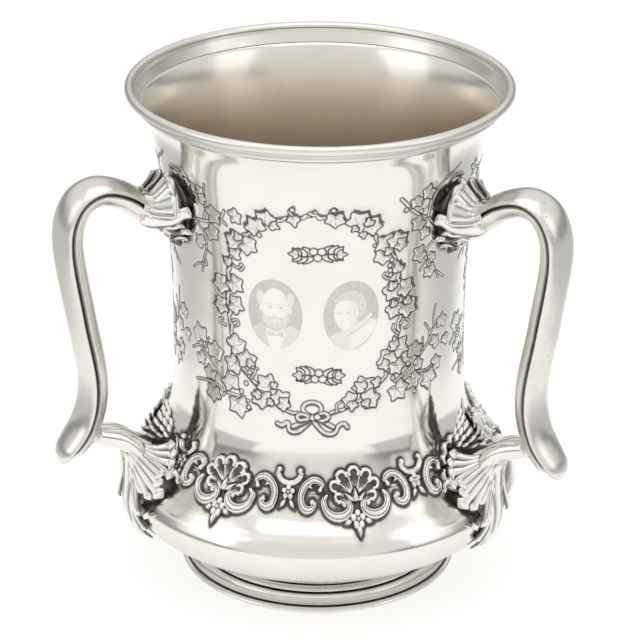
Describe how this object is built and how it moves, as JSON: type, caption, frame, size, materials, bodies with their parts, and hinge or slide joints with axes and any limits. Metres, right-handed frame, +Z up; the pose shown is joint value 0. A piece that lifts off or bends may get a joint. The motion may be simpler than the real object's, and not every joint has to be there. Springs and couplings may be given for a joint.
{
  "type": "loving cup trophy",
  "caption": "Silver loving cup trophy with a flared neck, a bulging bowl on a low foot, a cast shell band and S-curved handles with leaf mounts.",
  "frame": {"origin": "on the cup's axis, at the plane its foot stands on", "axes": "+Z up along the cup's axis, -Y out of the main engraved panel, +Y through the rear handle"},
  "size_m": [0.2314, 0.2256, 0.235],
  "materials": {
    "body_sheet": "polished silver with fine scratches, oxidised shading round the chased leaves",
    "rim": "polished silver with dark lines between the reeds",
    "foot": "polished silver with dark lines in the steps",
    "bottom_plate": "satin silver, lightly tarnished",
    "cast_ornament": "cast silver, bright on the high points and oxidised dark in the hollows",
    "mounts": "cast silver leaves, burnished ridges over dark hollows",
    "grips": "polished silver worn soft by hands, with a dark groove"
  },
  "bodies": {
    "root": {"neck_shell": "body_sheet", "bowl_shell": "body_sheet", "rim_moulding": "rim", "foot_collar": "foot", "foot_cove": "foot", "foot_flange": "foot", "bottom_plate": "bottom_plate", "band_shell_1": "cast_ornament", "band_shell_2": "cast_ornament", "band_shell_3": "cast_ornament", "band_shell_4": "cast_ornament", "band_shell_5": "cast_ornament", "band_shell_6": "cast_ornament", "band_shell_7": "cast_ornament", "band_shell_8": "cast_ornament", "band_scroll_1": "cast_ornament", "band_scroll_2": "cast_ornament", "band_scroll_3": "cast_ornament", "band_scroll_4": "cast_ornament", "band_scroll_5": "cast_ornament", "band_scroll_6": "cast_ornament", "band_scroll_7": "cast_ornament", "band_scroll_8": "cast_ornament", "left_grip": "grips", "left_grip_bead": "grips", "left_upper_mount": "mounts", "left_lower_mount": "mounts", "left_palmette": "cast_ornament", "right_grip": "grips", "right_grip_bead": "grips", "right_upper_mount": "mounts", "right_lower_mount": "mounts", "right_palmette": "cast_ornament", "rear_grip": "grips", "rear_grip_bead": "grips", "rear_upper_mount": "mounts", "rear_lower_mount": "mounts", "rear_palmette": "cast_ornament"}
  },
  "joints": []
}
